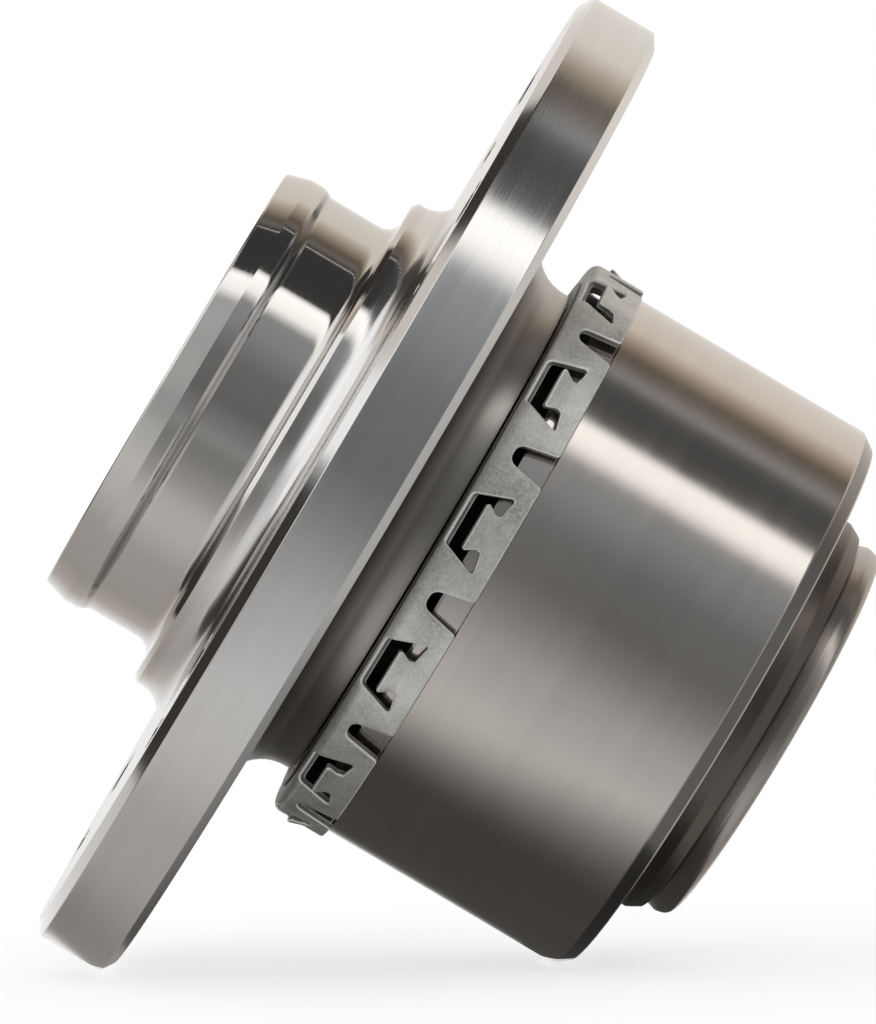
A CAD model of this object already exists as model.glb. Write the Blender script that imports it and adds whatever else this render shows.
import math

import bmesh
import bpy
from mathutils import Matrix, Vector


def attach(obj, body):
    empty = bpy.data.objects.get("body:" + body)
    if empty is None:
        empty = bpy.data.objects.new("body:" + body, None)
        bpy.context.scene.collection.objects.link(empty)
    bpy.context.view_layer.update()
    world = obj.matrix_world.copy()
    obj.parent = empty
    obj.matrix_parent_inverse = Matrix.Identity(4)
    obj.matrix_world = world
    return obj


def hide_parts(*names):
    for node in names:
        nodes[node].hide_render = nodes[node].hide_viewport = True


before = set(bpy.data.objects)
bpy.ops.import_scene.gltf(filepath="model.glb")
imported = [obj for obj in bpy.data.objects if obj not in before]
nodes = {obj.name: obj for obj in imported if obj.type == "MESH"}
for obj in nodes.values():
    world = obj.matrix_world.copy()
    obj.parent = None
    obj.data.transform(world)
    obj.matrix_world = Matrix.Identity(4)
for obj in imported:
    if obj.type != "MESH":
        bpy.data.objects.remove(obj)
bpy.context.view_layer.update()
scene = bpy.context.scene
mm = 0.001

# Camera: it looks square at the axis from 0.82 m, rolled as the photograph is
view = {
    "distance": 0.820,
    "height": 0.01108,
    "aim": (0.00259, 0.0, -0.0160),
    "axisTilt": 30.6,
    "lens": 246.5,
    "sensor": 36.0,
    "reach": 20,
}


def addObject(name, data):
    thing = bpy.data.objects.new(name, data)
    scene.collection.objects.link(thing)
    return thing


def newMesh(name, spots, faces, material=None):
    mesh = bpy.data.meshes.new(name)
    mesh.from_pydata(spots, [], faces)
    if material:
        mesh.materials.append(material)
    return mesh


def addCamera():
    eye = Vector((0, -view["distance"], view["height"]))
    back = (eye - Vector(view["aim"])).normalized()
    tilt = math.radians(view["axisTilt"])
    roughUp = Vector((math.cos(tilt), 0, math.sin(tilt)))
    right = roughUp.cross(back).normalized()
    up = back.cross(right)
    data = bpy.data.cameras.new("camera")
    data.lens = view["lens"]
    data.sensor_width = view["sensor"]
    data.clip_end = view["reach"]
    camera = addObject("camera", data)
    camera.matrix_world = Matrix.Translation(eye) @ Matrix((right, up, back)).transposed().to_4x4()
    scene.camera = camera


addCamera()
scene.view_settings.view_transform = "Standard"
print("camera placed")


# Shader maths: a socket wrapped so that Python's operators add Math nodes
class Wire:
    def __init__(self, tree, socket):
        self.tree = tree
        self.socket = socket

    def math(self, operation, *others):
        return addNode(self.tree, "ShaderNodeMath", {"operation": operation}, [self, *others])

    def __add__(self, other):
        return self.math("ADD", other)

    def __sub__(self, other):
        return self.math("SUBTRACT", other)

    def __rsub__(self, other):
        return addNode(self.tree, "ShaderNodeMath", {"operation": "SUBTRACT"}, [other, self])

    def __mul__(self, other):
        return self.math("MULTIPLY", other)

    def __truediv__(self, other):
        return self.math("DIVIDE", other)

    __radd__ = __add__
    __rmul__ = __mul__


def addNode(tree, kind, settings=None, values=(), out=0):
    # A new node with its properties set and each input given a value or a link
    node = tree.nodes.new(kind)
    for key, value in (settings or {}).items():
        if key == "stops":
            ramp = node.color_ramp
            while len(ramp.elements) < len(value):
                ramp.elements.new(1.0)
            for element, (place, colour) in zip(ramp.elements, value):
                element.position = place
                element.color = colour
        else:
            setattr(node, key, value)
    pairs = values.items() if isinstance(values, dict) else enumerate(values)
    for key, value in pairs:
        if isinstance(value, Wire):
            tree.links.new(value.socket, node.inputs[key])
        else:
            node.inputs[key].default_value = value
    return Wire(tree, node.outputs[out])


def step(wire, low, high):
    return addNode(wire.tree, "ShaderNodeMapRange", {"interpolation_type": "SMOOTHSTEP"},
                   {"Value": wire, "From Min": low, "From Max": high})


def band(wire, low, high, soft):
    return step(wire, low - soft, low + soft) * (1 - step(wire, high - soft, high + soft))


def blend(factor, first, second):
    # Inputs 6 and 7 are a colour mix's two colours, and output 2 is its result
    return addNode(factor.tree, "ShaderNodeMix", {"data_type": "RGBA"},
                   {"Factor": factor, 6: first, 7: second}, out=2)


def grey(level, warmth=0.0):
    # Warmth adds to the red what it takes from the blue
    return (level * (1 + warmth), level, level * (1 - warmth), 1)


def tint(red, green, blue):
    return (red, green, blue, 1)


def splitUp(wire):
    split = wire.tree.nodes.new("ShaderNodeSeparateXYZ")
    wire.tree.links.new(wire.socket, split.inputs[0])
    return [Wire(wire.tree, split.outputs[i]) for i in range(3)]


def objectPlace(tree):
    # The object's own coordinates, whole and split up in millimetres
    place = addNode(tree, "ShaderNodeTexCoord", out="Object")
    return place, *(part * (1 / mm) for part in splitUp(place))


def newMaterial(name):
    material = bpy.data.materials.new(name)
    material.use_nodes = True
    return material, material.node_tree


# Studio: bright and dark panels all round the axis, as the steel reflects them.
# A panel is [angle, brightness, warmth]. Angles are round the axis from the camera's side,
# negative towards +X. The other pairs are where a change starts and where it is complete.
studio = {
    "brightest": 2.0,
    "panels": [
        (-180, 0.96, 0.02), (-162, 0.83, 0.06), (-140, 0.90, 0.075), (-128, 0.90, 0.085),
        (-117, 0.43, 0.20), (-109, 0.14, 0.20), (-103, 0.22, 0.10), (-96, 0.42, -0.02),
        (-91, 0.14, -0.02), (-84, 0.10, -0.02), (-70, 0.12, 0.00), (-67, 1.90, 0.00),
        (-57, 1.60, 0.01), (-51, 0.42, -0.04), (-40, 0.38, -0.05), (-24, 0.24, -0.03),
        (-4, 0.21, -0.02), (8, 0.32, -0.02), (26, 0.60, -0.01), (48, 0.78, 0.00),
        (66, 0.72, 0.01), (86, 0.54, 0.03), (122, 0.48, 0.05), (142, 0.58, 0.06),
        (156, 0.84, 0.03), (168, 0.98, 0.00), (180, 1.00, 0.00),
    ],
    "behind": (0.0, 0.3),
    "plusSide": (-0.04, 0.04),
    "overhead": (1.4, -0.01),
    "overheadFront": (0.38, 0.80),
    "overheadSide": (-0.30, 0.10),
    "overheadBehind": (0.964, 0.974),
    "overheadPlus": 0.082,
    "overheadDim": 0.25,
    "overheadFull": (0.955, 0.99),
    "belt": (0.05, 0.1),
    "beltSoft": 0.02,
    "beltMinus": (0.68, 0.98),
    "beltMinusBehind": (0.03, 0.07),
    "beltPlus": (0.57, 0.79),
    "under": 0.52,
    "underFade": (0.55, 0.95),
    "diffuse": (0.42, 0.01),
}


def lightWorld():
    world = bpy.data.worlds.new("studio")
    world.use_nodes = True
    tree = world.node_tree
    tree.nodes.clear()
    x, y, z = splitUp(addNode(tree, "ShaderNodeTexCoord", out="Generated"))
    angle = (x * -1).math("ARCTAN2", y * -1)
    turn = angle / (2 * math.pi) + 0.5
    # A ramp holds no colour above 1, so the levels go in divided and come out multiplied
    brightest = studio["brightest"]
    stops = [(a / 360 + 0.5, grey(level / brightest, warmth)) for a, level, warmth in studio["panels"]]
    ring = addNode(tree, "ShaderNodeValToRGB", {"stops": stops}, [turn])
    ring = addNode(tree, "ShaderNodeVectorMath", {"operation": "SCALE"}, {0: ring, "Scale": brightest})
    behind = step(y, *studio["behind"])
    plusSide = step(x, *studio["plusSide"])
    # A dark belt behind the part, at other heights on its +X side
    belt = band(z, *studio["beltPlus"], studio["beltSoft"]) * plusSide * behind
    minusBelt = band(z, *studio["beltMinus"], studio["beltSoft"]) * (1 - plusSide)
    belt = belt + minusBelt * step(y, *studio["beltMinusBehind"])
    ring = blend(belt, ring, grey(*studio["belt"]))
    # Light from above, dimmer towards -X except at the very top, and a small patch behind
    lit = step(x, *studio["overheadSide"]) * (1 - studio["overheadDim"]) + studio["overheadDim"]
    lit = lit + (1 - lit) * step(z, *studio["overheadFull"])
    overFront = step(z, *studio["overheadFront"]) * (1 - behind) * lit
    overBehind = step(z + plusSide * studio["overheadPlus"], *studio["overheadBehind"]) * behind
    above = blend(overFront + overBehind, ring, grey(*studio["overhead"]))
    around = blend(step(z * -1, *studio["underFade"]), above, grey(studio["under"]))
    # What is matt gets even light, and the camera sees plain white
    seen = addNode(tree, "ShaderNodeLightPath", out="Is Camera Ray")
    soft = addNode(tree, "ShaderNodeLightPath", out="Is Diffuse Ray")
    colour = blend(soft, around, grey(*studio["diffuse"]))
    colour = blend(seen, colour, grey(1))
    glow = addNode(tree, "ShaderNodeBackground", {}, {"Color": colour, "Strength": 1.0})
    out = tree.nodes.new("ShaderNodeOutputWorld")
    tree.links.new(glow.socket, out.inputs["Surface"])
    scene.world = world


# Lamps: soft boxes that light what is matt. The steel gets its reflections from the studio.
lamps = {
    "key": {"place": (0.35, -0.55, 0.45), "size": 0.5, "watts": 6.0},
    "fill": {"place": (-0.5, -0.5, -0.1), "size": 0.6, "watts": 2.0},
    "rear": {"place": (0.5, 0.6, 0.3), "size": 0.6, "watts": 4.0},
}


def addLamps():
    for name, lamp in lamps.items():
        data = bpy.data.lights.new(name, "AREA")
        data.shape = "SQUARE"
        data.size = lamp["size"]
        data.energy = lamp["watts"]
        box = addObject(name, data)
        box.location = lamp["place"]
        box.rotation_euler = Vector(lamp["place"]).to_track_quat("Z", "Y").to_euler()
        box.visible_glossy = False


# Floor: the part leans on its flange's rim and its ring's rear edge
floorTilt = math.radians(31.26)
floor = {
    "normal": Vector((math.cos(floorTilt), 0, math.sin(floorTilt))),
    "along": Vector((-math.sin(floorTilt), 0, math.cos(floorTilt))),
    "offset": -59.02 * mm,
    "size": 4.0,
    "light": 3.1,
    "level": 0.718,
    "roughness": 0.9,
}

# Cards that only the gloss sees, in millimetres. One lies on the floor: dark and wide under the
# ring, grey and short under the flange's rim, and fading in and out along Y. One stands beside
# the wheel pilot and brightens away from it. The flag stands beyond the pilot, dark with a
# bright slit.
cards = {
    "lift": 1, "darkTop": -12.5, "darkSoft": 0.2, "darkEnd": -68, "darkNear": -56, "darkFull": -22,
    "darkFar": 130, "darkLevel": (0.08, 0.03),
    "fadeFrom": -50, "fadeStart": -2, "fadeSlant": 1.0, "fadeLength": 26, "fadeGrowth": 2.4,
    "rimTop": 0.5, "rimNear": -36, "rimFull": -16, "rimFaint": -9, "rimFar": 2,
    "rimLevel": (0.30, 0.03),
    "sideFirst": (-28, -198), "sideLast": (-177, -94), "sideLow": 0.5, "sideHigh": 90,
    "sideIn": (28, 62), "sideOut": (105, 177), "sideGrow": (60, 150), "sideDark": (0.32, 0.0),
    "sideLight": (0.66, 0.02),
    "flagDistance": 150, "flagNear": -74, "flagFar": 16, "flagLow": -2, "flagHigh": 110,
    "flagLevel": 0.06, "flagEnd": 4.8, "slit": (3.5, 4.1), "slitSoft": 0.25, "slitLevel": 2.2,
}


def flatSheet(name, corners, material):
    sheet = addObject(name, newMesh(name, corners, [range(len(corners))], material))
    return sheet


def floorMaterial():
    # Matt and nearly white. It hides nothing when it is looked at from below.
    material, tree = newMaterial("paleFloor")
    shader = tree.nodes["Principled BSDF"]
    shader.inputs["Base Color"].default_value = grey(floor["level"])
    shader.inputs["Roughness"].default_value = floor["roughness"]
    shader.inputs["Specular IOR Level"].default_value = 0.0
    below = addNode(tree, "ShaderNodeNewGeometry", out="Backfacing")
    clear = addNode(tree, "ShaderNodeBsdfTransparent")
    mixed = addNode(tree, "ShaderNodeMixShader", {},
                    {0: below, 1: Wire(tree, shader.outputs[0]), 2: clear})
    tree.links.new(mixed.socket, tree.nodes["Material Output"].inputs["Surface"])
    return material


def addFloor():
    middle = floor["normal"] * floor["offset"]
    half = floor["size"] / 2
    corners = [middle + floor["along"] * u + Vector((0, v, 0)) for u, v in
               ((-half, half), (half, half), (half, -half), (-half, -half))]
    ground = flatSheet("floor", corners, floorMaterial())
    ground.visible_glossy = False
    ground.visible_diffuse = False
    # The lamps leave the floor out, and a lamp of its own keeps it white
    floorOnly = bpy.data.collections.new("floorOnly")
    floorOnly.objects.link(ground)
    allButFloor = bpy.data.collections.new("allButFloor")
    allButFloor.objects.link(ground)
    allButFloor.collection_objects[0].light_linking.link_state = "EXCLUDE"
    for name in lamps:
        bpy.data.objects[name].light_linking.receiver_collection = allButFloor
    data = bpy.data.lights.new("floorLight", "SUN")
    data.energy = floor["light"]
    data.use_shadow = False
    lamp = addObject("floorLight", data)
    lamp.rotation_euler = floor["normal"].to_track_quat("Z", "Y").to_euler()
    lamp.light_linking.receiver_collection = floorOnly


def glossOnly(card):
    card.visible_camera = False
    card.visible_diffuse = False
    card.visible_shadow = False
    card.visible_transmission = False


def fadingCard(name, corners, look):
    # look(x, y, z), in millimetres, gives how much of the card is there and its colour
    fading, tree = newMaterial(name)
    tree.nodes.clear()
    spot = objectPlace(tree)[1:]
    clear = addNode(tree, "ShaderNodeBsdfTransparent")
    shown, colour = look(*spot)
    glow = addNode(tree, "ShaderNodeEmission", {}, {"Color": colour})
    mixed = addNode(tree, "ShaderNodeMixShader", {}, {0: shown, 1: clear, 2: glow})
    out = tree.nodes.new("ShaderNodeOutputMaterial")
    tree.links.new(mixed.socket, out.inputs["Surface"])
    glossOnly(flatSheet(name, corners, fading))


def onFloor(low, high, near, far):
    # Corners of a sheet just above the floor, between two heights and two depths
    along = floor["along"]
    middle = floor["normal"] * (floor["offset"] + cards["lift"] * mm)
    low, high = ((z * mm - middle.z) / along.z for z in (low, high))
    return [middle + along * u + Vector((0, v * mm, 0)) for u, v in
            ((low, near), (high, near), (high, far), (low, far))]


def upright(first, last, low, high):
    return [(x * mm, y * mm, z * mm) for (x, y), z in
            ((first, low), (last, low), (last, high), (first, high))]


def underPart(x, y, z):
    # The far end fades along a slanted line, farther out the farther it is from one height
    c = cards
    away = (z - c["fadeFrom"]).math("ABSOLUTE")
    past = (y - c["fadeStart"] - away * c["fadeSlant"]) / (away * c["fadeGrowth"] + c["fadeLength"])
    ring = step(y, c["darkNear"], c["darkFull"]) * (1 - step(past, 0, 1))
    rim = step(y, c["rimNear"], c["rimFull"]) * (1 - step(y, c["rimFaint"], c["rimFar"]))
    underRim = step(z, c["darkTop"] - c["darkSoft"], c["darkTop"] + c["darkSoft"])
    level = blend(underRim, grey(*c["darkLevel"]), grey(*c["rimLevel"]))
    return ring + underRim * (rim - ring), level


def besidePilot(x, y, z):
    shown = step(x * -1, *cards["sideIn"]) * (1 - step(x * -1, *cards["sideOut"]))
    grow = step(x * -1, *cards["sideGrow"])
    return shown, blend(grow, grey(*cards["sideDark"]), grey(*cards["sideLight"]))


def beyondPilot(x, y, z):
    # The bright slit is beside the end where the flag thins out
    slit = band(y, *cards["slit"], cards["slitSoft"])
    colour = blend(slit, grey(cards["flagLevel"]), grey(cards["slitLevel"]))
    return 1 - step(y, cards["flagEnd"], cards["flagFar"]), colour


def addCards():
    c = cards
    fadingCard("floorCard", onFloor(c["darkEnd"], c["rimTop"], c["darkNear"], c["darkFar"]), underPart)
    fadingCard("sideCard", upright(c["sideFirst"], c["sideLast"], c["sideLow"], c["sideHigh"]),
               besidePilot)
    first, last = ((c["flagDistance"], c[end]) for end in ("flagNear", "flagFar"))
    fadingCard("flag", upright(first, last, c["flagLow"], c["flagHigh"]), beyondPilot)


lightWorld()
addLamps()
addFloor()
addCards()
print("studio lit")


# Turned parts: a profile in [radius, height, corner radius], all in millimetres.
# The shortest stretch that gets support loops is a multiple of their gap.
turning = {
    "segments": 320,
    "arcStep": 15,
    "arcLength": 0.6,
    "supportGap": 0.05,
    "supportLeast": 6,
    "curveLength": 1.3,
    "curveTurn": 25,
    "sharpAngle": 32,
}


def roundedPath(points):
    path = []
    count = len(points)
    for i, point in enumerate(points):
        here = Vector(point[:2])
        size = point[2] if len(point) > 2 else 0
        if size == 0:
            path.append(here)
            continue
        wayIn = (Vector(points[i - 1][:2]) - here).normalized()
        wayOut = (Vector(points[(i + 1) % count][:2]) - here).normalized()
        half = math.acos(max(-1, min(1, wayIn.dot(wayOut)))) / 2
        centre = here + (wayIn + wayOut).normalized() * size / math.sin(half)
        start = here + wayIn * size / math.tan(half) - centre
        sweep = math.pi - 2 * half
        if wayIn.x * wayOut.y - wayIn.y * wayOut.x > 0:
            sweep = -sweep
        steps = max(2, round(abs(math.degrees(sweep)) / turning["arcStep"]) + 1,
                    round(abs(sweep) * size / turning["arcLength"]))
        for k in range(steps + 1):
            turn = sweep * k / steps
            path.append(centre + Vector((start.x * math.cos(turn) - start.y * math.sin(turn),
                                         start.x * math.sin(turn) + start.y * math.cos(turn))))
    return path


def supported(path):
    # Extra loops at the ends of each flat stretch keep the smooth shading out of it.
    # A short stretch that turns little at both ends is part of a curve and gets none.
    gap = turning["supportGap"]
    count = len(path)
    ways = [(path[(i + 1) % count] - path[i]).normalized() for i in range(count)]
    turns = [math.degrees(ways[i - 1].angle(ways[i])) for i in range(count)]
    result = []
    for i, here in enumerate(path):
        after = path[(i + 1) % count]
        result.append(here)
        length = (after - here).length
        turn = max(turns[i], turns[(i + 1) % count])
        curved = length < turning["curveLength"] and turn < turning["curveTurn"]
        if length > turning["supportLeast"] * gap and not curved:
            result += [here + ways[i] * gap, after - ways[i] * gap]
    return result


def loopFaces(loops, count):
    # Quads between closed loops of the same count of points, the last joined to the first
    faces = []
    for k in range(loops):
        a, b = k * count, (k + 1) % loops * count
        faces += [(a + i, b + i, b + (i + 1) % count, a + (i + 1) % count) for i in range(count)]
    return faces


def lathe(name, profile, material, body):
    path = supported(roundedPath(profile))
    around = turning["segments"]
    area = sum(a.x * b.y - a.y * b.x for a, b in zip(path, path[1:] + path[:1]))
    if area < 0:
        path.reverse()
    spots = []
    for k in range(around):
        c, s = math.cos(2 * math.pi * k / around), math.sin(2 * math.pi * k / around)
        spots += [(p.x * c * mm, p.x * s * mm, p.y * mm) for p in path]
    return finishMesh(newMesh(name, spots, loopFaces(around, len(path)), material), body)


def smoothShade(mesh, angle):
    mesh.shade_smooth()
    mesh.set_sharp_from_angle(angle=math.radians(angle))


def finishMesh(mesh, body, angle=turning["sharpAngle"]):
    smoothShade(mesh, angle)
    piece = addObject(mesh.name, mesh)
    if body:
        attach(piece, body)
    return piece


def dress(tree, colour, rough, height, metallic):
    shader = tree.nodes["Principled BSDF"]
    bump = addNode(tree, "ShaderNodeBump", {}, {"Strength": 1.0, "Distance": mm, "Height": height})
    tree.links.new(bump.socket, shader.inputs["Normal"])
    tree.links.new(colour.socket, shader.inputs["Base Color"])
    tree.links.new(rough.socket, shader.inputs["Roughness"])
    shader.inputs["Metallic"].default_value = metallic


# Steel: circumferential tool lines, faint stains and a sheen that changes by zone. Zones are
# [lowest height, highest height, softness, roughness, colour, line depth] in millimetres.
sheen = {
    "stainStart": 0.3, "stainGain": 1.4, "smear": (0.3, 0.7), "feedStain": (0.35, 0.6),
    "feedWander": 2, "smoothest": 0.04,
}


def steel(name, look):
    material, tree = newMaterial(name)
    place, x, y, z = objectPlace(tree)
    # The tool lines follow the height on a cylinder and the radius on a face
    across = z + (x * x + y * y).math("SQRT")
    stain = addNode(tree, "ShaderNodeTexNoise", {},
                    {"Vector": place, "Scale": look["stainScale"], "Detail": 3.0, "Roughness": 0.55})
    smear = addNode(tree, "ShaderNodeTexNoise", {"noise_dimensions": "1D"},
                    {"W": across * look["smearPitch"], "Scale": 1.0, "Detail": 2.0})
    lines = addNode(tree, "ShaderNodeTexNoise", {"noise_dimensions": "1D"},
                    {"W": across * (1 / look["linePitch"]), "Scale": 1.0, "Detail": 1.5,
                     "Roughness": 0.5})
    grain = addNode(tree, "ShaderNodeTexNoise", {},
                    {"Vector": place, "Scale": look["grainScale"], "Detail": 2.0})
    rough = look["roughness"] + (stain - 0.5) * look["stainRough"] + (smear - 0.5) * look["smearRough"]
    rough = rough + (lines - 0.5) * look["lineRough"]
    colour = blend((stain - sheen["stainStart"]) * sheen["stainGain"], look["dark"], look["light"])
    colour = blend(step(smear, *sheen["smear"]) * look["smearTint"], colour, look["light"])
    feed = across * (2 * math.pi / look["feed"]) + lines * sheen["feedWander"]
    feed = (feed.math("SINE") * 0.5 + 0.5) * step(stain, *sheen["feedStain"])
    colour = blend(feed * look["feedShade"], colour, look["feedColour"])
    lineDepth = look["lineDepth"]
    for low, high, soft, zoneRough, zoneColour, zoneDepth in look["zones"]:
        inside = band(z, low, high, soft)
        rough = rough + inside * (zoneRough - look["roughness"])
        colour = blend(inside, colour, zoneColour)
        lineDepth = lineDepth + inside * (zoneDepth - look["lineDepth"])
    height = (lines - 0.5) * lineDepth + (grain - 0.5) * look["grainDepth"]
    dress(tree, colour, rough.math("MAXIMUM", sheen["smoothest"]), height, 1.0)
    return material


hubLook = {
    "stainScale": 28, "grainScale": 2500, "grainDepth": 0.0004,
    "smearPitch": 0.55, "smearRough": 0.05, "smearTint": 0.25, "stainRough": 0.05,
    "linePitch": 0.16, "lineDepth": 0.0035, "lineRough": 0.12, "roughness": 0.15,
    "feed": 0.30, "feedShade": 0.16, "feedColour": tint(0.34, 0.32, 0.31),
    "dark": tint(0.59, 0.575, 0.56), "light": tint(0.70, 0.685, 0.67),
    "zones": [
        (3.2, 30, 0.4, 0.06, tint(0.55, 0.53, 0.505), 0.0006),
        (-1.12, -0.05, 0.02, 0.08, tint(0.58, 0.57, 0.56), 0.0003),
        (-10.15, -9.12, 0.03, 0.40, tint(0.82, 0.81, 0.79), 0.0006),
        (-16.8, -10.6, 0.5, 0.30, tint(0.38, 0.355, 0.325), 0.0006),
        (-12.9, -10.3, 0.4, 0.26, tint(0.56, 0.53, 0.50), 0.0006),
        (13.7, 14.2, 0.4, 0.30, tint(0.27, 0.265, 0.26), 0.0),
        (-70, -59, 0.5, 0.26, tint(0.38, 0.35, 0.32), 0.0008),
    ],
}
ringLook = {
    "stainScale": 60, "grainScale": 3200, "grainDepth": 0.0010,
    "smearPitch": 0.35, "smearRough": 0.05, "smearTint": 0.25, "stainRough": 0.07,
    "linePitch": 0.10, "lineDepth": 0.0012, "lineRough": 0.04, "roughness": 0.14,
    "feed": 0.5, "feedShade": 0.0, "feedColour": tint(0.3, 0.3, 0.3),
    "dark": tint(0.50, 0.464, 0.43), "light": tint(0.62, 0.577, 0.534),
    "zones": [
        (-60, -54.2, 0.15, 0.2, tint(0.19, 0.18, 0.165), 0.0015),
        (-56.1, -55.72, 0.03, 0.25, tint(0.62, 0.59, 0.53), 0.0015),
        (-20.0, -16.95, 0.05, 0.6, tint(0.012, 0.011, 0.010), 0.0),
        (-16.9, -10, 0.05, 0.4, tint(0.15, 0.14, 0.13), 0.0),
    ],
}
innerLook = dict(ringLook, dark=tint(0.13, 0.115, 0.10), light=tint(0.18, 0.155, 0.13),
                 roughness=0.38, zones=[])

hubSteel = steel("turnedHubSteel", hubLook)
ringSteel = steel("groundRingSteel", ringLook)
innerSteel = steel("innerRingSteel", innerLook)
print("steels made")

hub = {
    "noseHeight": 19.33, "pilotRadius": 28.45, "noseCone": 0.85, "noseConeHeight": 2.93,
    "rimHeight": 1.9, "undercut": 0.65, "stepHeight": 4.85, "discRadius": 32.45,
    "flangeRadius": 63.5, "flangeThickness": 10.1, "neckRadius": 32.05, "shoulder": 16.35,
    "boreRadius": 20.0, "innerRear": 59.9, "rear": 63.2, "collarRadius": 24.65,
    "leadRadius": 14.5, "leadLength": 9.0, "toothTip": 12.6, "toothHeight": 0.9, "teeth": 36,
    "seat": 1.0, "webThickness": 10.0, "axleHole": 8.5, "hollowRadius": 23.0,
    "boltCircle": 50.0, "boltCount": 5, "boltPhase": 90, "threadRadius": 7.0, "boltChamfer": 0.6,
    "screwRadius": 3.0, "screwChamfer": 0.5, "hollowChamfer": 0.9, "hollowDraft": 0.6,
    "undercutCone": 1.0, "discChamfer": 0.6, "rimFront": (1.75, 1.1), "rimRear": (1.6, 1.0),
    "collarFoot": 0.55, "collarFootHeight": 1.65, "collarTop": 0.4, "leadChamfer": 1.0,
    "axleChamfer": 0.5, "toothShares": (0.2, 0.34), "tipReach": 0.1,
    "edge": 0.1, "noseEdges": (0.2, 0.35, 0.12), "undercutFillets": (1.4, 1.6, 2.0),
    "discEdge": 0.08, "discFillet": 3.5, "rimEdge": 0.15, "neckFillet": 5.5,
    "collarRounds": (1, 1.1), "hollowFillet": 1.5,
}


def hubProfile():
    h = hub
    rimTop = h["noseHeight"] - h["noseConeHeight"]
    rimFoot = rimTop - h["rimHeight"]
    land = h["pilotRadius"] - h["undercut"]
    flangeRear = -h["flangeThickness"]
    splineTop = h["leadLength"] - h["rear"]
    web = h["seat"] - h["webThickness"]
    innerEdge, outerEdge, coneEdge = h["noseEdges"]
    topFillet, lowFillet, stepFillet = h["undercutFillets"]
    lowRound, highRound = h["collarRounds"]
    return [
        (h["hollowRadius"] + h["hollowChamfer"], h["noseHeight"], innerEdge),
        (h["pilotRadius"] - h["noseCone"], h["noseHeight"], outerEdge),
        (h["pilotRadius"], rimTop, coneEdge),
        (h["pilotRadius"], rimFoot, topFillet),
        (land, rimFoot - h["undercutCone"], lowFillet),
        (land, h["stepHeight"], stepFillet),
        (h["discRadius"] - h["discChamfer"], h["stepHeight"], h["discEdge"]),
        (h["discRadius"], h["stepHeight"] - h["discChamfer"], h["discEdge"]),
        (h["discRadius"], 0, h["discFillet"]),
        (h["flangeRadius"] - h["rimFront"][0], 0, h["rimEdge"]),
        (h["flangeRadius"], -h["rimFront"][1], h["rimEdge"]),
        (h["flangeRadius"], flangeRear + h["rimRear"][1], h["rimEdge"]),
        (h["flangeRadius"] - h["rimRear"][0], flangeRear, h["rimEdge"]),
        (h["neckRadius"], flangeRear, h["neckFillet"]),
        (h["neckRadius"], -h["shoulder"], h["edge"]),
        (h["boreRadius"], -h["shoulder"]),
        (h["boreRadius"], -h["innerRear"]),
        (h["collarRadius"] - h["collarFoot"], -h["innerRear"], h["edge"]),
        (h["collarRadius"], -h["innerRear"] - h["collarFootHeight"], lowRound),
        (h["collarRadius"] - h["collarTop"], -h["rear"], highRound),
        (h["leadRadius"] + h["leadChamfer"], -h["rear"], h["edge"]),
        (h["leadRadius"], h["leadChamfer"] - h["rear"], h["edge"]),
        (h["leadRadius"], splineTop),
        (h["toothTip"], splineTop + h["leadChamfer"]),
        (h["toothTip"], web),
        (h["axleHole"], web),
        (h["axleHole"], h["seat"] - h["axleChamfer"]),
        (h["axleHole"] + h["axleChamfer"], h["seat"]),
        (h["hollowRadius"] - h["hollowDraft"], h["seat"], h["hollowFillet"]),
        (h["hollowRadius"], h["noseHeight"] - h["hollowChamfer"], h["edge"]),
    ]


def prism(name, outline, low, high):
    spots = [(x * mm, y * mm, z * mm) for z in (low, high) for x, y in outline]
    n = len(outline)
    faces = [tuple(range(n - 1, -1, -1)), tuple(range(n, 2 * n))]
    faces += [(i, (i + 1) % n, (i + 1) % n + n, i + n) for i in range(n)]
    return addObject(name, newMesh(name, spots, faces))


def drill(name, x, y, radius, low, high, chamfer):
    # The cutter widens into a chamfer at both faces and runs a little past them
    around, past = 64, 0.2
    wide = radius + chamfer + past
    rings = [(wide, low - past), (radius, low + chamfer), (radius, high - chamfer), (wide, high + past)]
    spots = []
    for r, z in rings:
        spots += [((x + r * math.cos(2 * math.pi * k / around)) * mm,
                   (y + r * math.sin(2 * math.pi * k / around)) * mm, z * mm) for k in range(around)]
    faces = [tuple(range(around - 1, -1, -1)), tuple(range(3 * around, 4 * around))]
    for ring in range(3):
        a, b = ring * around, (ring + 1) * around
        faces += [(a + k, a + (k + 1) % around, b + (k + 1) % around, b + k) for k in range(around)]
    return addObject(name, newMesh(name, spots, faces))


def splineOutline():
    tip = hub["toothTip"] - hub["tipReach"]
    root = hub["toothTip"] + hub["toothHeight"]
    pitch = 360 / hub["teeth"]
    top, foot = hub["toothShares"]
    corners = ((-foot, tip), (-top, root), (top, root), (foot, tip))
    return [(r * math.cos(math.radians(pitch * (i + a))), r * math.sin(math.radians(pitch * (i + a))))
            for i in range(hub["teeth"]) for a, r in corners]


def cutWith(piece, cutters, solver):
    for cutter in cutters:
        cut = piece.modifiers.new(cutter.name, "BOOLEAN")
        cut.operation = "DIFFERENCE"
        cut.solver = solver
        cut.object = cutter
    settled(piece)
    for cutter in cutters:
        bpy.data.objects.remove(cutter)


def settled(piece):
    # The modifiers' result becomes the piece's own mesh
    depsgraph = bpy.context.evaluated_depsgraph_get()
    mesh = bpy.data.meshes.new_from_object(piece.evaluated_get(depsgraph))
    piece.modifiers.clear()
    piece.data = mesh


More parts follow.
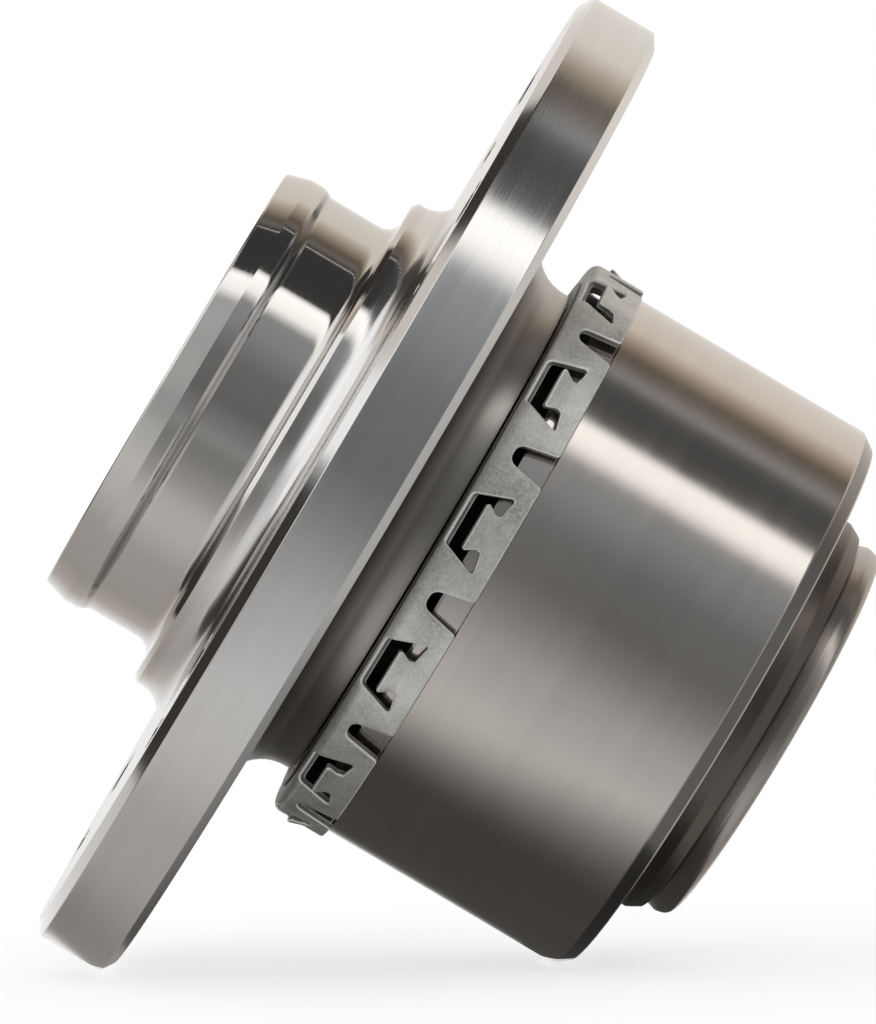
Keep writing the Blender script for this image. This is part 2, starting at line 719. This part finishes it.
def holePlace(turn):
    angle = math.radians(hub["boltPhase"] + turn)
    return hub["boltCircle"] * math.cos(angle), hub["boltCircle"] * math.sin(angle)


boltPlaces = [holePlace(i * 360 / hub["boltCount"]) for i in range(hub["boltCount"])]
screwPlace = holePlace(180 / hub["boltCount"])


def makeHub():
    piece = lathe("hubForging", hubProfile(), hubSteel, None)
    flangeRear = -hub["flangeThickness"]
    cutters = [drill(f"bolt{i}", x, y, hub["threadRadius"], flangeRear, 0, hub["boltChamfer"])
               for i, (x, y) in enumerate(boltPlaces)]
    cutters.append(drill("screw", *screwPlace, hub["screwRadius"], flangeRear, 0, hub["screwChamfer"]))
    cutters.append(prism("spline", splineOutline(), hub["leadLength"] - hub["rear"],
                         hub["seat"] - hub["webThickness"]))
    cutWith(piece, cutters, "MANIFOLD")
    smoothShade(piece.data, turning["sharpAngle"])
    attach(piece, "hub_side")
    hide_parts("hub")


makeHub()
print("hub turned, drilled and splined")

outerRing = {
    "front": -16.5, "width": 39.4, "radius": 36.0, "seatBore": 32.5, "lipRadius": 34.1,
    "lipLength": 0.2, "grooveRadius": 33.5, "grooveLength": 3.3, "relief": 0.5,
    "seatFront": -23.65, "chamferLength": 1.85, "chamferHeight": 1.3, "sealDepth": 4.7,
    "counterbore": 32.3, "midLand": 29.6, "rowGap": 8.8575, "pitch": 28.0, "groove": 4.8025,
    "boreChamfer": 0.4, "lipChamfer": 0.05, "reliefChamfer": (0.55, 0.4), "seatStep": 0.15,
    "edge": 0.05, "lipEdge": 0.02, "grooveFillet": 0.15, "rearEdges": (0.25, 0.2), "arcSteps": 12,
}


def raceway(centre, side, deepShoulder, lowShoulder):
    # The groove's arc, from the end beside the seal to the end beside the middle land
    o = outerRing
    first = side * math.acos((deepShoulder - o["pitch"]) / o["groove"])
    last = -side * math.acos((lowShoulder - o["pitch"]) / o["groove"])
    turns = (first + (last - first) * k / o["arcSteps"] for k in range(o["arcSteps"] + 1))
    return [(o["pitch"] + o["groove"] * math.cos(a), centre + o["groove"] * math.sin(a)) for a in turns]


def outerRingProfile():
    o = outerRing
    front, rear = o["front"], o["front"] - o["width"]
    middle = (front + rear) / 2
    grooveEnd = front - o["lipLength"] - o["grooveLength"]
    inboard = raceway(middle - o["rowGap"], -1, o["counterbore"], o["midLand"])
    outboard = raceway(middle + o["rowGap"], 1, o["counterbore"], o["midLand"])
    relieved = o["radius"] - o["relief"]
    seatEdge, rearEdge = o["rearEdges"]
    return [
        (o["seatBore"] + o["boreChamfer"], front),
        (o["lipRadius"] - o["lipChamfer"], front), (o["lipRadius"], front - o["lipChamfer"]),
        (o["lipRadius"], front - o["lipLength"], o["lipEdge"]),
        (o["grooveRadius"], front - o["lipLength"], o["grooveFillet"]),
        (o["grooveRadius"], grooveEnd, o["grooveFillet"]),
        (o["radius"] - o["reliefChamfer"][0], grooveEnd, o["edge"]),
        (relieved, grooveEnd - o["reliefChamfer"][1], o["edge"]),
        (relieved, o["seatFront"] + o["seatStep"]), (o["radius"], o["seatFront"]),
        (o["radius"], rear + o["chamferLength"], seatEdge),
        (o["radius"] - o["chamferHeight"], rear, rearEdge),
        (o["seatBore"] + o["boreChamfer"], rear, o["edge"]),
        (o["seatBore"], rear + o["boreChamfer"], o["edge"]),
        (o["seatBore"], rear + o["sealDepth"]), (o["counterbore"], rear + o["sealDepth"]),
        *inboard, *reversed(outboard),
        (o["counterbore"], front - o["sealDepth"]), (o["seatBore"], front - o["sealDepth"]),
        (o["seatBore"], front - o["boreChamfer"], o["edge"]),
    ]


ringPiece = lathe("groundOuterRing", outerRingProfile(), ringSteel, "knuckle_side")
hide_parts("outer_ring")
print("outer ring turned")

innerRing = {
    "rear": -59.9, "joint": -36.2, "row": -45.0575, "land": 26.0, "lowLand": 23.6, "bore": 20.0,
    "chamferLength": 1.6, "chamferHeight": 0.9, "chamfer": 0.4, "pitch": 28.0, "groove": 4.8025,
    "rearEdges": (0.6, 0.25), "arcSteps": 12,
}


def innerRingProfile():
    r = innerRing
    first = math.acos((r["pitch"] - r["lowLand"]) / r["groove"])
    last = -math.acos((r["pitch"] - r["land"]) / r["groove"])
    turns = (first + (last - first) * k / r["arcSteps"] for k in range(r["arcSteps"] + 1))
    groove = [(r["pitch"] - r["groove"] * math.cos(a), r["row"] + r["groove"] * math.sin(a))
              for a in turns]
    landEdge, rearEdge = r["rearEdges"]
    return [
        (r["bore"] + r["chamfer"], r["joint"]), (r["lowLand"], r["joint"]), *groove,
        (r["land"], r["rear"] + r["chamferLength"], landEdge),
        (r["land"] - r["chamferHeight"], r["rear"], rearEdge),
        (r["bore"] + r["chamfer"], r["rear"]), (r["bore"], r["rear"] + r["chamfer"]),
        (r["bore"], r["joint"] - r["chamfer"]),
    ]


innerPiece = lathe("groundInnerRing", innerRingProfile(), innerSteel, "hub_side")
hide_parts("inner_ring_inboard")
print("inboard inner ring turned")


# Retaining clip: one pitch of the flat sheet is cut out, bent, and repeated round the ring.
# On the sheet, s runs round the ring and v from the inboard edge towards the flange.
clip = {
    "pitches": 12, "windowPhase": 5, "outerRadius": 37.0, "thickness": 0.9, "rear": -23.55,
    "bendAt": 5.6, "bendRadius": 0.75, "hookRadius": 33.6, "edge": 0.22, "edgeSteps": 2,
    "windowTip": (3.2, 6.26, 0.55), "windowCorner": (4.95, 1.8, 0.3), "pocket": (2.3, 2.35, 0.28),
    "tongueWaist": (2.2, 3.05, 0.5), "tongueTip": (3.1, 4.5, 0.28), "tongueMargin": (0.12, 0.2),
    "tongueBend": 2.45, "bendSoft": 0.4, "rise": 0.65,
    "notchApex": 4.75, "notchRadius": 1.1, "notchRound": 0.98, "mouthHalf": 2.15,
    "mouthCorner": 0.45, "spare": 0.6, "columns": 12, "bendRows": 8, "softRows": 4,
    "rows": (0.3, 3.4, 4.9), "lipRow": 0.3, "rimSlope": (0.2, 0.92), "sheetWeld": 0.001,
    "cutWeld": 0.00001, "ringWeld": 0.00001, "split": 3.0, "splitAt": 80, "splitPast": 2,
    "splitHeights": (-1, 9), "sharpAngle": 40,
}
sheetRadius = clip["outerRadius"] - clip["thickness"] / 2
bendEnd = clip["bendAt"] + clip["bendRadius"] * math.pi / 2


def clipSheetOutlines():
    c = clip
    half = math.pi * sheetRadius / c["pitches"]
    front = bendEnd + sheetRadius - c["bendRadius"] - c["hookRadius"]
    foot = half - c["mouthHalf"]
    shank = half - c["notchRadius"]
    # The blank runs past its seams, so that the cut there leaves no bevel
    end = half + c["spare"]
    right = [(end, front), (end, c["notchApex"]), (half, c["notchApex"]),
             (shank, c["notchApex"], c["notchRadius"] * c["notchRound"]), (foot, 0, c["mouthCorner"])]
    blank = right + [(-p[0], *p[1:]) for p in reversed(right)]
    hole = [c["windowTip"], c["windowCorner"], c["pocket"], c["tongueWaist"], c["tongueTip"]]
    return blank, hole + [(-p[0], *p[1:]) for p in reversed(hole)], half, front


def clipPlace(s, v, w):
    # Where a point of the flat sheet comes to lie: distance round, height and offset from mid sheet
    c = clip
    bend, size = c["bendAt"], c["bendRadius"]
    tongueHalf, tongueEnd = c["tongueTip"][:2]
    aside, beyond = c["tongueMargin"]
    if c["tongueBend"] < v < tongueEnd + beyond and abs(s) < tongueHalf + aside:
        run = v - c["tongueBend"]
        soft = c["bendSoft"]
        slope = c["rise"] / (tongueEnd - c["tongueBend"])
        tilt = math.atan(slope) * min(1, run / soft)
        lift = slope * (run - soft / 2 if run > soft else run * run / (2 * soft))
        radius = sheetRadius + lift + w * math.cos(tilt)
        height = v - w * math.sin(tilt)
    elif v <= bend:
        radius, height = sheetRadius + w, v
    elif v <= bendEnd:
        turn = (v - bend) / size
        radius = sheetRadius - size + (size + w) * math.cos(turn)
        height = bend + (size + w) * math.sin(turn)
    else:
        radius = sheetRadius - size - (v - bendEnd)
        height = bend + size + w
    angle = s / sheetRadius
    return Vector((radius * math.cos(angle), radius * math.sin(angle), c["rear"] + height)) * mm


def clipPitch():
    blank, hole, half, front = clipSheetOutlines()
    c = clip
    curve = bpy.data.curves.new("clipBlank", "CURVE")
    curve.dimensions = "2D"
    curve.fill_mode = "BOTH"
    curve.extrude = c["thickness"] / 2 - c["edge"]
    curve.bevel_depth = c["edge"]
    curve.bevel_resolution = c["edgeSteps"]
    curve.offset = -c["edge"]
    for outline in (blank, hole):
        path = roundedPath(outline)
        spline = curve.splines.new("POLY")
        spline.points.add(len(path) - 1)
        for point, place in zip(spline.points, path):
            point.co = (place.x, place.y, 0, 1)
        spline.use_cyclic_u = True
    blankPiece = addObject("clipBlank", curve)
    depsgraph = bpy.context.evaluated_depsgraph_get()
    mesh = bpy.data.meshes.new_from_object(blankPiece.evaluated_get(depsgraph))
    bpy.data.objects.remove(blankPiece)
    work = bmesh.new()
    work.from_mesh(mesh)
    bmesh.ops.remove_doubles(work, verts=work.verts, dist=c["sheetWeld"])
    for side in (-1, 1):
        bmesh.ops.bisect_plane(work, geom=work.verts[:] + work.edges[:] + work.faces[:],
                               plane_co=(side * half, 0, 0), plane_no=(side, 0, 0), clear_outer=True)
    # Cuts across and along the sheet, so that it can follow its bends
    cuts = [((half * (k / c["columns"] - 1), 0, 0), (1, 0, 0)) for k in range(1, 2 * c["columns"])]
    rows = [c["bendAt"] + (bendEnd - c["bendAt"]) * k / c["bendRows"] for k in range(c["bendRows"] + 1)]
    rows += [c["tongueBend"] + c["bendSoft"] * k / c["softRows"] for k in range(c["softRows"] + 1)]
    rows += [*c["rows"], front - c["lipRow"]]
    cuts += [((0, v, 0), (0, 1, 0)) for v in rows]
    for place, normal in cuts:
        bmesh.ops.bisect_plane(work, geom=work.verts[:] + work.edges[:] + work.faces[:],
                               plane_co=place, plane_no=normal, dist=c["cutWeld"])
    rim, wall = (work.faces.layers.int.new(name) for name in ("rim", "wall"))
    steep, flat = c["rimSlope"]
    for part in work.faces:
        part[rim] = steep < abs(part.normal.z) < flat
        part[wall] = abs(part.normal.z) <= steep
    for corner in work.verts:
        corner.co = clipPlace(*corner.co)
    work.to_mesh(mesh)
    work.free()
    return mesh


def ringOfCopies(piece, given):
    # Geometry Nodes: copies of the piece turned round the axis, each face with its finish
    tree = bpy.data.node_groups.new("ringOfCopies", "GeometryNodeTree")
    kinds = {"Pitch": "Geometry", "Count": "Int", "Phase": "Float",
             "Face": "Material", "Rim": "Material", "Wall": "Material"}
    names = {}
    for name, kind in kinds.items():
        socket = tree.interface.new_socket(name, in_out="INPUT", socket_type=f"NodeSocket{kind}")
        names[name] = socket.identifier
    tree.interface.new_socket("Ring", in_out="OUTPUT", socket_type="NodeSocketGeometry")
    inputs = tree.nodes.new("NodeGroupInput")
    pitch, many, start, face, rim, wall = (Wire(tree, inputs.outputs[name]) for name in kinds)
    points = addNode(tree, "GeometryNodeMeshLine", {"mode": "OFFSET"},
                     {"Count": many, "Offset": (0, 0, 0)})
    share = addNode(tree, "ShaderNodeMath", {"operation": "DIVIDE"}, [2 * math.pi, many])
    turn = addNode(tree, "GeometryNodeInputIndex") * share + start
    spin = addNode(tree, "ShaderNodeCombineXYZ", {}, {"Z": turn})
    copies = addNode(tree, "GeometryNodeInstanceOnPoints", {},
                     {"Points": points, "Instance": pitch, "Rotation": spin})
    real = addNode(tree, "GeometryNodeRealizeInstances", {}, [copies])
    whole = addNode(tree, "GeometryNodeSetMaterial", {}, {"Geometry": real, "Material": face})
    for mark, finish in (("rim", rim), ("wall", wall)):
        marked = addNode(tree, "GeometryNodeInputNamedAttribute", {"data_type": "INT"},
                         {"Name": mark})
        whole = addNode(tree, "GeometryNodeSetMaterial", {},
                        {"Geometry": whole, "Selection": marked, "Material": finish})
    result = tree.nodes.new("NodeGroupOutput")
    tree.links.new(whole.socket, result.inputs[0])
    repeat = piece.modifiers.new("ringOfCopies", "NODES")
    repeat.node_group = tree
    for name, value in given.items():
        repeat[names[name]] = value
    settled(piece)


def makeClip(face, rim, wall):
    c = clip
    piece = addObject("retainingClip", clipPitch())
    ringOfCopies(piece, {"Count": c["pitches"], "Phase": math.radians(c["windowPhase"]),
                         "Face": face, "Rim": rim, "Wall": wall})
    work = bmesh.new()
    work.from_mesh(piece.data)
    bmesh.ops.remove_doubles(work, verts=work.verts, dist=c["ringWeld"])
    work.to_mesh(piece.data)
    work.free()
    angle = math.radians(c["splitAt"])
    halfGap = c["split"] / 2
    inner = c["hookRadius"] - c["splitPast"]
    outer = c["outerRadius"] + c["splitPast"]
    low, high = (c["rear"] + height for height in c["splitHeights"])
    corners = [(inner, -halfGap), (outer, -halfGap), (outer, halfGap), (inner, halfGap)]
    turned = [(x * math.cos(angle) - y * math.sin(angle), x * math.sin(angle) + y * math.cos(angle))
              for x, y in corners]
    cutWith(piece, [prism("splitGap", turned, low, high)], "EXACT")
    smoothShade(piece.data, c["sharpAngle"])
    fair = piece.modifiers.new("fair", "WEIGHTED_NORMAL")
    fair.keep_sharp = True
    settled(piece)
    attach(piece, "knuckle_side")
    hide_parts("retaining_clip")


# Matt coatings and mouldings: a mottled colour with a fine grain
mottle = {"patchStart": 0.3, "patchGain": 2.2, "fleck": (0.35, 0.75)}


def matt(name, look):
    material, tree = newMaterial(name)
    place = addNode(tree, "ShaderNodeTexCoord", out="Object")
    patches = addNode(tree, "ShaderNodeTexNoise", {},
                      {"Vector": place, "Scale": look["patchScale"], "Detail": 4.0, "Roughness": 0.6})
    grain = addNode(tree, "ShaderNodeTexNoise", {},
                    {"Vector": place, "Scale": look["grainScale"], "Detail": 3.0, "Roughness": 0.7})
    colour = blend((patches - mottle["patchStart"]) * mottle["patchGain"], look["dark"], look["light"])
    colour = blend(step(grain, *mottle["fleck"]) * look["fleck"], colour, look["fleckColour"])
    rough = look["roughness"] + (grain - 0.5) * look["grainRough"]
    dress(tree, colour, rough, grain * look["grainDepth"], look["metallic"])
    return material


clipFace = matt("phosphatedSheet", {
    "patchScale": 190, "grainScale": 2600, "grainDepth": 0.012, "grainRough": 0.25,
    "dark": tint(0.40, 0.40, 0.375), "light": tint(0.76, 0.76, 0.72), "fleck": 0.6,
    "fleckColour": tint(0.90, 0.90, 0.87), "roughness": 0.46, "metallic": 0.6,
})
clipRim = matt("wornRim", {
    "patchScale": 400, "grainScale": 3000, "grainDepth": 0.006, "grainRough": 0.2,
    "dark": tint(0.84, 0.84, 0.82), "light": tint(0.95, 0.95, 0.93), "fleck": 0.3,
    "fleckColour": tint(0.97, 0.97, 0.96), "roughness": 0.34, "metallic": 0.0,
})
clipWall = matt("shearedWall", {
    "patchScale": 500, "grainScale": 3000, "grainDepth": 0.010, "grainRough": 0.2,
    "dark": tint(0.22, 0.22, 0.21), "light": tint(0.42, 0.42, 0.40), "fleck": 0.3,
    "fleckColour": tint(0.6, 0.6, 0.58), "roughness": 0.42, "metallic": 0.5,
})
makeClip(clipFace, clipRim, clipWall)
print("clip cut out, bent and repeated")


# Threads in the hub's holes: a tube whose bore follows the helix
threads = {
    "bolt": {"core": 6.25, "outer": 7.05, "pitch": 1.5, "top": 0.6, "bottom": 9.5, "around": 48},
    "screw": {"core": 2.5, "outer": 3.05, "pitch": 1.0, "top": 0.5, "bottom": 9.6, "around": 36},
    "rowsPerPitch": 8, "wall": 0.1, "runOut": 0.05, "crest": 0.12, "flank": 0.66, "sharpAngle": 50,
}


def threadTube(name, t, x, y):
    # The bore's loops come first and the outer wall's two last. Crest and flank are shares of
    # half a pitch.
    depth = t["outer"] - threads["wall"] - t["core"]
    rows = round((t["bottom"] - t["top"]) / t["pitch"] * threads["rowsPerPitch"])
    spots = []
    for i in range(rows + 1):
        z = -t["top"] - (t["bottom"] - t["top"]) * i / rows
        for k in range(t["around"]):
            turn = 2 * math.pi * k / t["around"]
            phase = (z / t["pitch"] - turn / (2 * math.pi)) % 1
            wave = min(1, max(0, (abs(phase - 0.5) * 2 - threads["crest"]) / threads["flank"]))
            fromEnd = min(-z - t["top"], t["bottom"] + z)
            radius = max(t["core"] + depth * wave, t["outer"] - threads["runOut"] - fromEnd)
            spots.append((radius, turn, z))
    wall = [(t["outer"], turn, z) for z in (-t["bottom"], -t["top"])
            for turn in (2 * math.pi * k / t["around"] for k in range(t["around"]))]
    places = [((x + r * math.cos(a)) * mm, (y + r * math.sin(a)) * mm, z * mm)
              for r, a, z in spots + wall]
    mesh = newMesh(name, places, loopFaces(rows + 3, t["around"]), hubSteel)
    work = bmesh.new()
    work.from_mesh(mesh)
    bmesh.ops.recalc_face_normals(work, faces=work.faces)
    work.to_mesh(mesh)
    work.free()
    piece = finishMesh(mesh, "hub_side", threads["sharpAngle"])


for i, place in enumerate(boltPlaces):
    threadTube(f"boltThread{i + 1}", threads["bolt"], *place)
threadTube("screwThread", threads["screw"], *screwPlace)
print("threads cut")


# The pieces inside the bearing keep their own meshes and get their finishes here
rubber = matt("mouldedRubber", {
    "patchScale": 90, "grainScale": 1800, "grainDepth": 0.006, "grainRough": 0.2,
    "dark": tint(0.018, 0.017, 0.016), "light": tint(0.032, 0.030, 0.028), "fleck": 0.2,
    "fleckColour": tint(0.05, 0.048, 0.045), "roughness": 0.55, "metallic": 0.0,
})
encoder = matt("magneticRubber", {
    "patchScale": 120, "grainScale": 3500, "grainDepth": 0.003, "grainRough": 0.15,
    "dark": tint(0.022, 0.020, 0.019), "light": tint(0.035, 0.032, 0.030), "fleck": 0.5,
    "fleckColour": tint(0.075, 0.068, 0.062), "roughness": 0.42, "metallic": 0.0,
})
cagePolymer = matt("glassFilledPolymer", {
    "patchScale": 140, "grainScale": 2200, "grainDepth": 0.006, "grainRough": 0.2,
    "dark": tint(0.20, 0.155, 0.09), "light": tint(0.27, 0.21, 0.13), "fleck": 0.3,
    "fleckColour": tint(0.34, 0.28, 0.19), "roughness": 0.5, "metallic": 0.0,
})
sheet = matt("pressedSheet", {
    "patchScale": 110, "grainScale": 2600, "grainDepth": 0.003, "grainRough": 0.12,
    "dark": tint(0.36, 0.35, 0.33), "light": tint(0.48, 0.47, 0.45), "fleck": 0.25,
    "fleckColour": tint(0.58, 0.57, 0.55), "roughness": 0.30, "metallic": 0.95,
})
ballSteel = steel("ballSteel", dict(
    ringLook, dark=tint(0.68, 0.68, 0.69), light=tint(0.74, 0.74, 0.75), roughness=0.06,
    stainRough=0.02, smearRough=0.0, smearTint=0.0, lineRough=0.0, lineDepth=0.0,
    grainDepth=0.0, zones=[]))

finishes = {
    "seal_lip": rubber, "encoder": encoder, "cage": cagePolymer, "seal_case": sheet,
    "slinger": sheet, "ball": ballSteel, "inner_ring": innerSteel,
}
for name, node in nodes.items():
    finish = next((finishes[start] for start in finishes if name.startswith(start)), None)
    if finish:
        for slot in node.material_slots:
            slot.material = finish
print("inner pieces finished")
